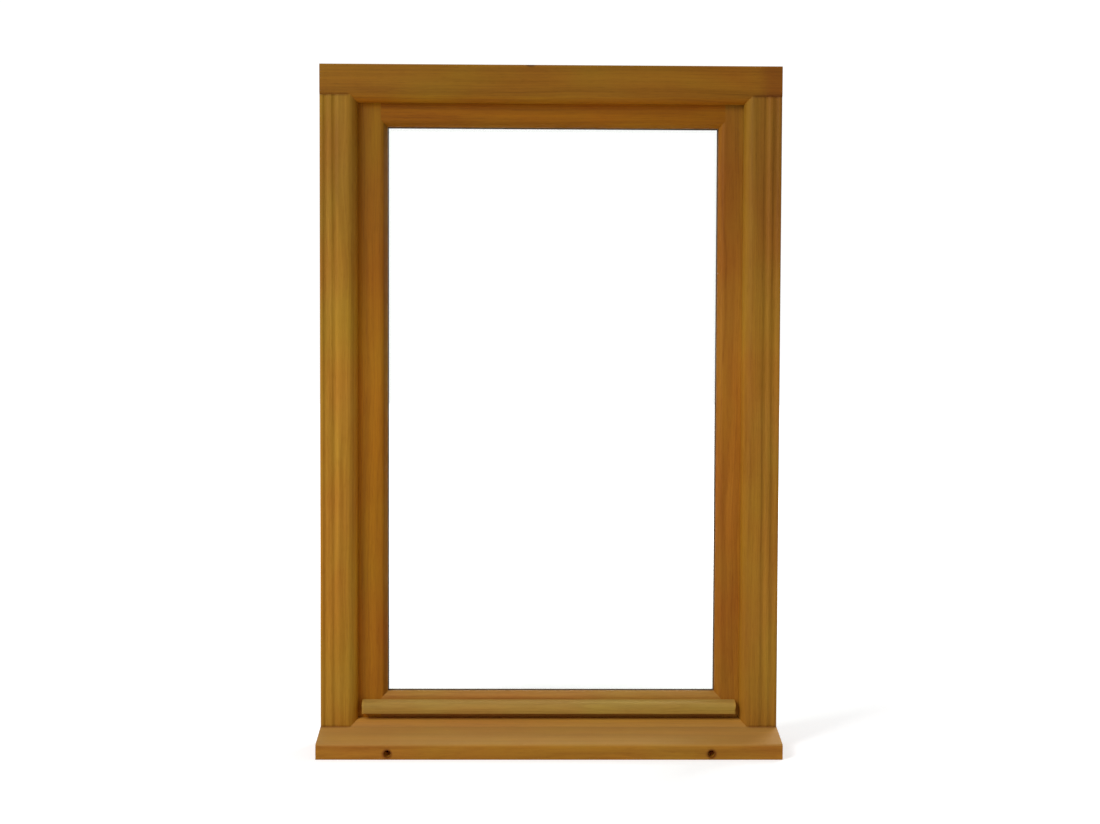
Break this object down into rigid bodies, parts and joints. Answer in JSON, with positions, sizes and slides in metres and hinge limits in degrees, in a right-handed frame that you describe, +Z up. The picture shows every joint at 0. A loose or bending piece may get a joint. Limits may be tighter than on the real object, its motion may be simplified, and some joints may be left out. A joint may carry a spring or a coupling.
{
  "type": "wooden casement window",
  "caption": "Inward-opening wooden casement window with a rebated frame, a glazed sash, a weather bar and a drained sloping sill.",
  "frame": {"origin": "on the flat underside of the sill, at the middle of the width, in the plane of the frame's outside face", "axes": "+Z up, +X to the right seen from outside, +Y from the outside face to the room side"},
  "size_m": [0.672, 0.1805, 1.002],
  "materials": {
    "stained_softwood": "softwood with a translucent golden-brown stain, satin, fine straight grain along each member",
    "window_glass": "clear float glass",
    "spacer_aluminium": "mill-finish folded strip",
    "black_rubber": "matt extruded rubber",
    "hard_plastic": "moulded, matt",
    "plated_steel": "nickel plated, satin",
    "handle_aluminium": "cast and satin anodised"
  },
  "bodies": {
    "root": {"frame_head": "stained_softwood", "frame_jamb_left": "stained_softwood", "frame_jamb_right": "stained_softwood", "frame_sill": "stained_softwood", "sash_stile_left": "stained_softwood", "sash_stile_right": "stained_softwood", "sash_top_rail": "stained_softwood", "sash_bottom_rail": "stained_softwood", "weather_bar": "stained_softwood", "glazing_bead_top": "stained_softwood", "glazing_bead_bottom": "stained_softwood", "glazing_bead_left": "stained_softwood", "glazing_bead_right": "stained_softwood", "glass_pane_outer": "window_glass", "glass_pane_inner": "window_glass", "glass_spacer": "spacer_aluminium", "glazing_tape_outer": "black_rubber", "glazing_tape_inner": "black_rubber", "lip_seal": "black_rubber", "setting_blocks": "hard_plastic", "hinge_lower_frame_half": "plated_steel", "hinge_lower_sash_half": "plated_steel", "hinge_upper_frame_half": "plated_steel", "hinge_upper_sash_half": "plated_steel", "handle_rose": "handle_aluminium", "handle_lever": "handle_aluminium", "handle_spindle": "plated_steel"}
  },
  "joints": []
}
